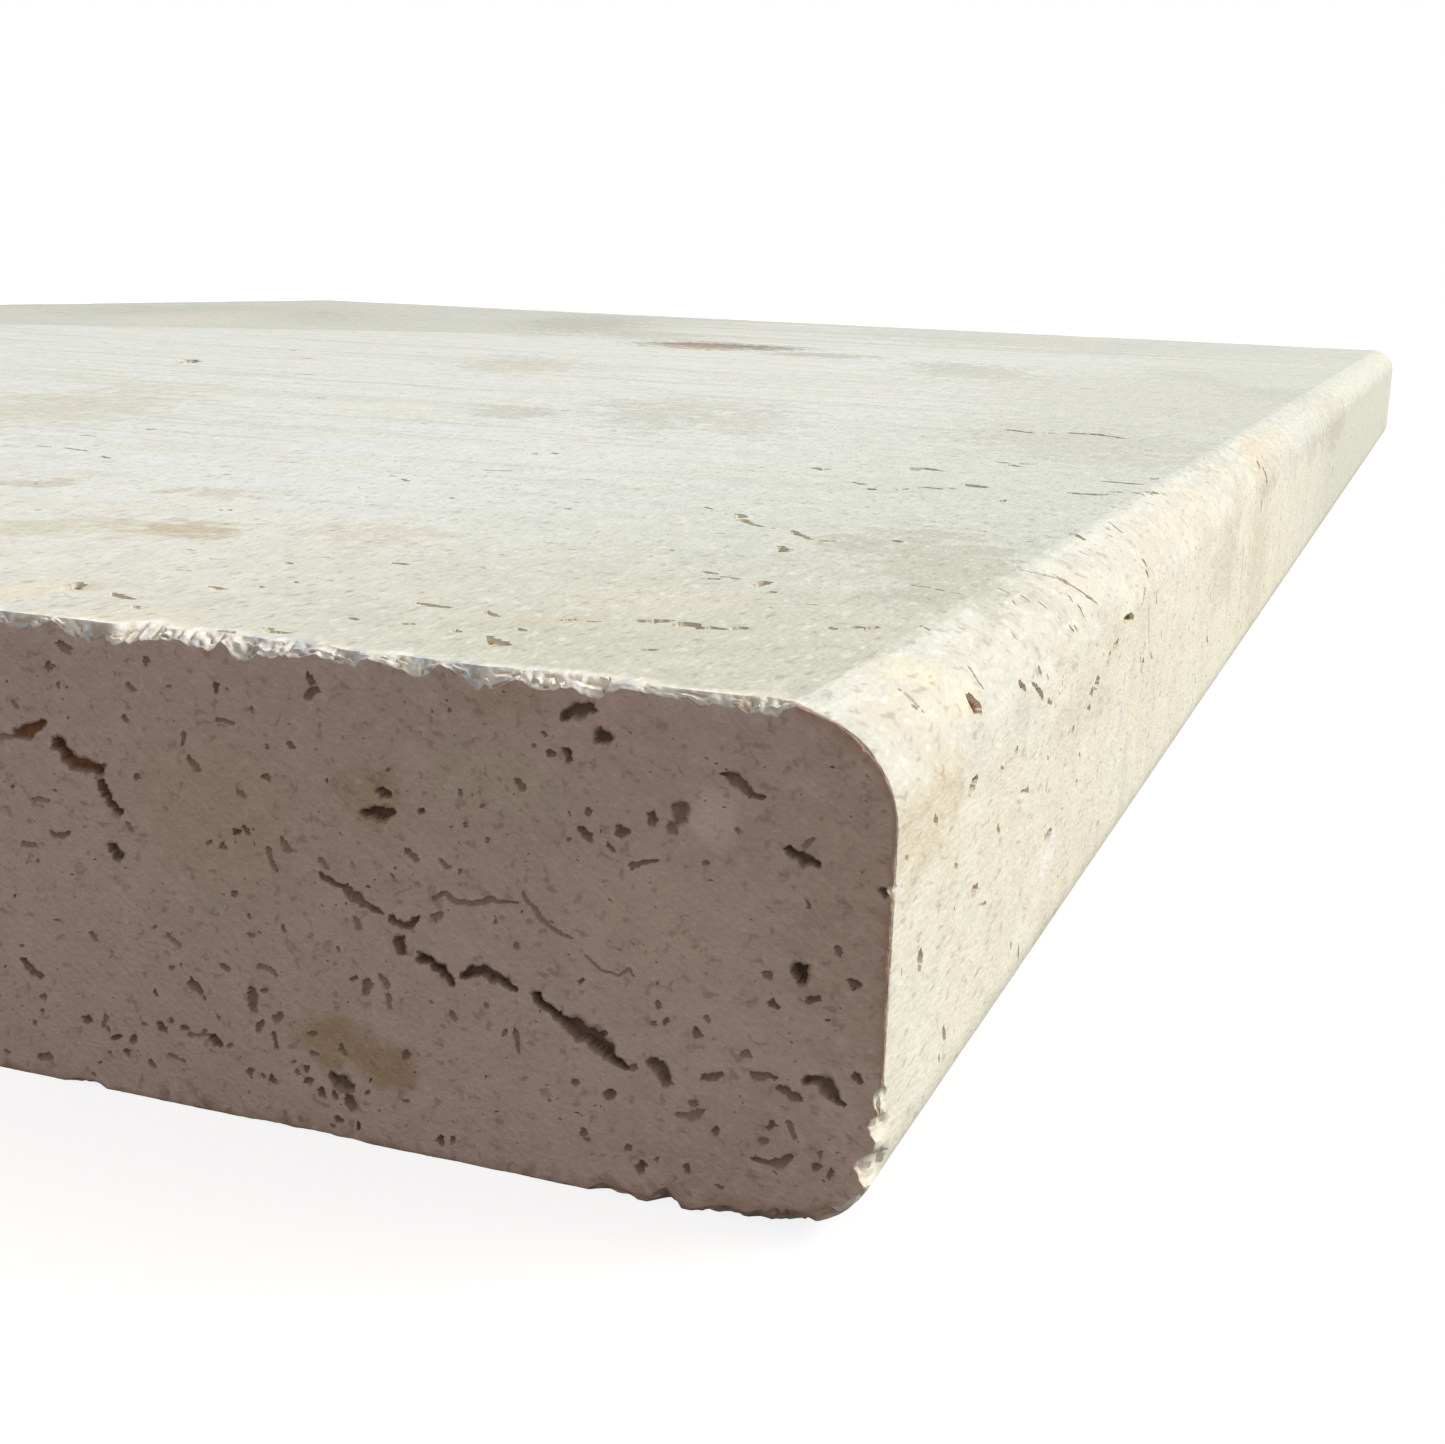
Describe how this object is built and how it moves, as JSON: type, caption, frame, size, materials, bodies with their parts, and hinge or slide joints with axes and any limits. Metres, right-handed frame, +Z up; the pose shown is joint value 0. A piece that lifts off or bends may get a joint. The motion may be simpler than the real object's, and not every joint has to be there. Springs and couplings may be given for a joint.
{
  "type": "pool coping stone",
  "caption": "Sawn travertine coping slab for a pool edge: flat top and underside, square joint faces, pool-side edge pencil-rounded above and below.",
  "frame": {"origin": "centre of the underside", "axes": "+Z up, +Y along the length of the stone, +X across it towards the rounded pool side"},
  "size_m": [0.406, 0.61, 0.03],
  "materials": {
    "travertine": "honed cream travertine with open natural pores and sawn ends"
  },
  "bodies": {
    "root": {"coping_stone": "travertine"}
  },
  "joints": []
}
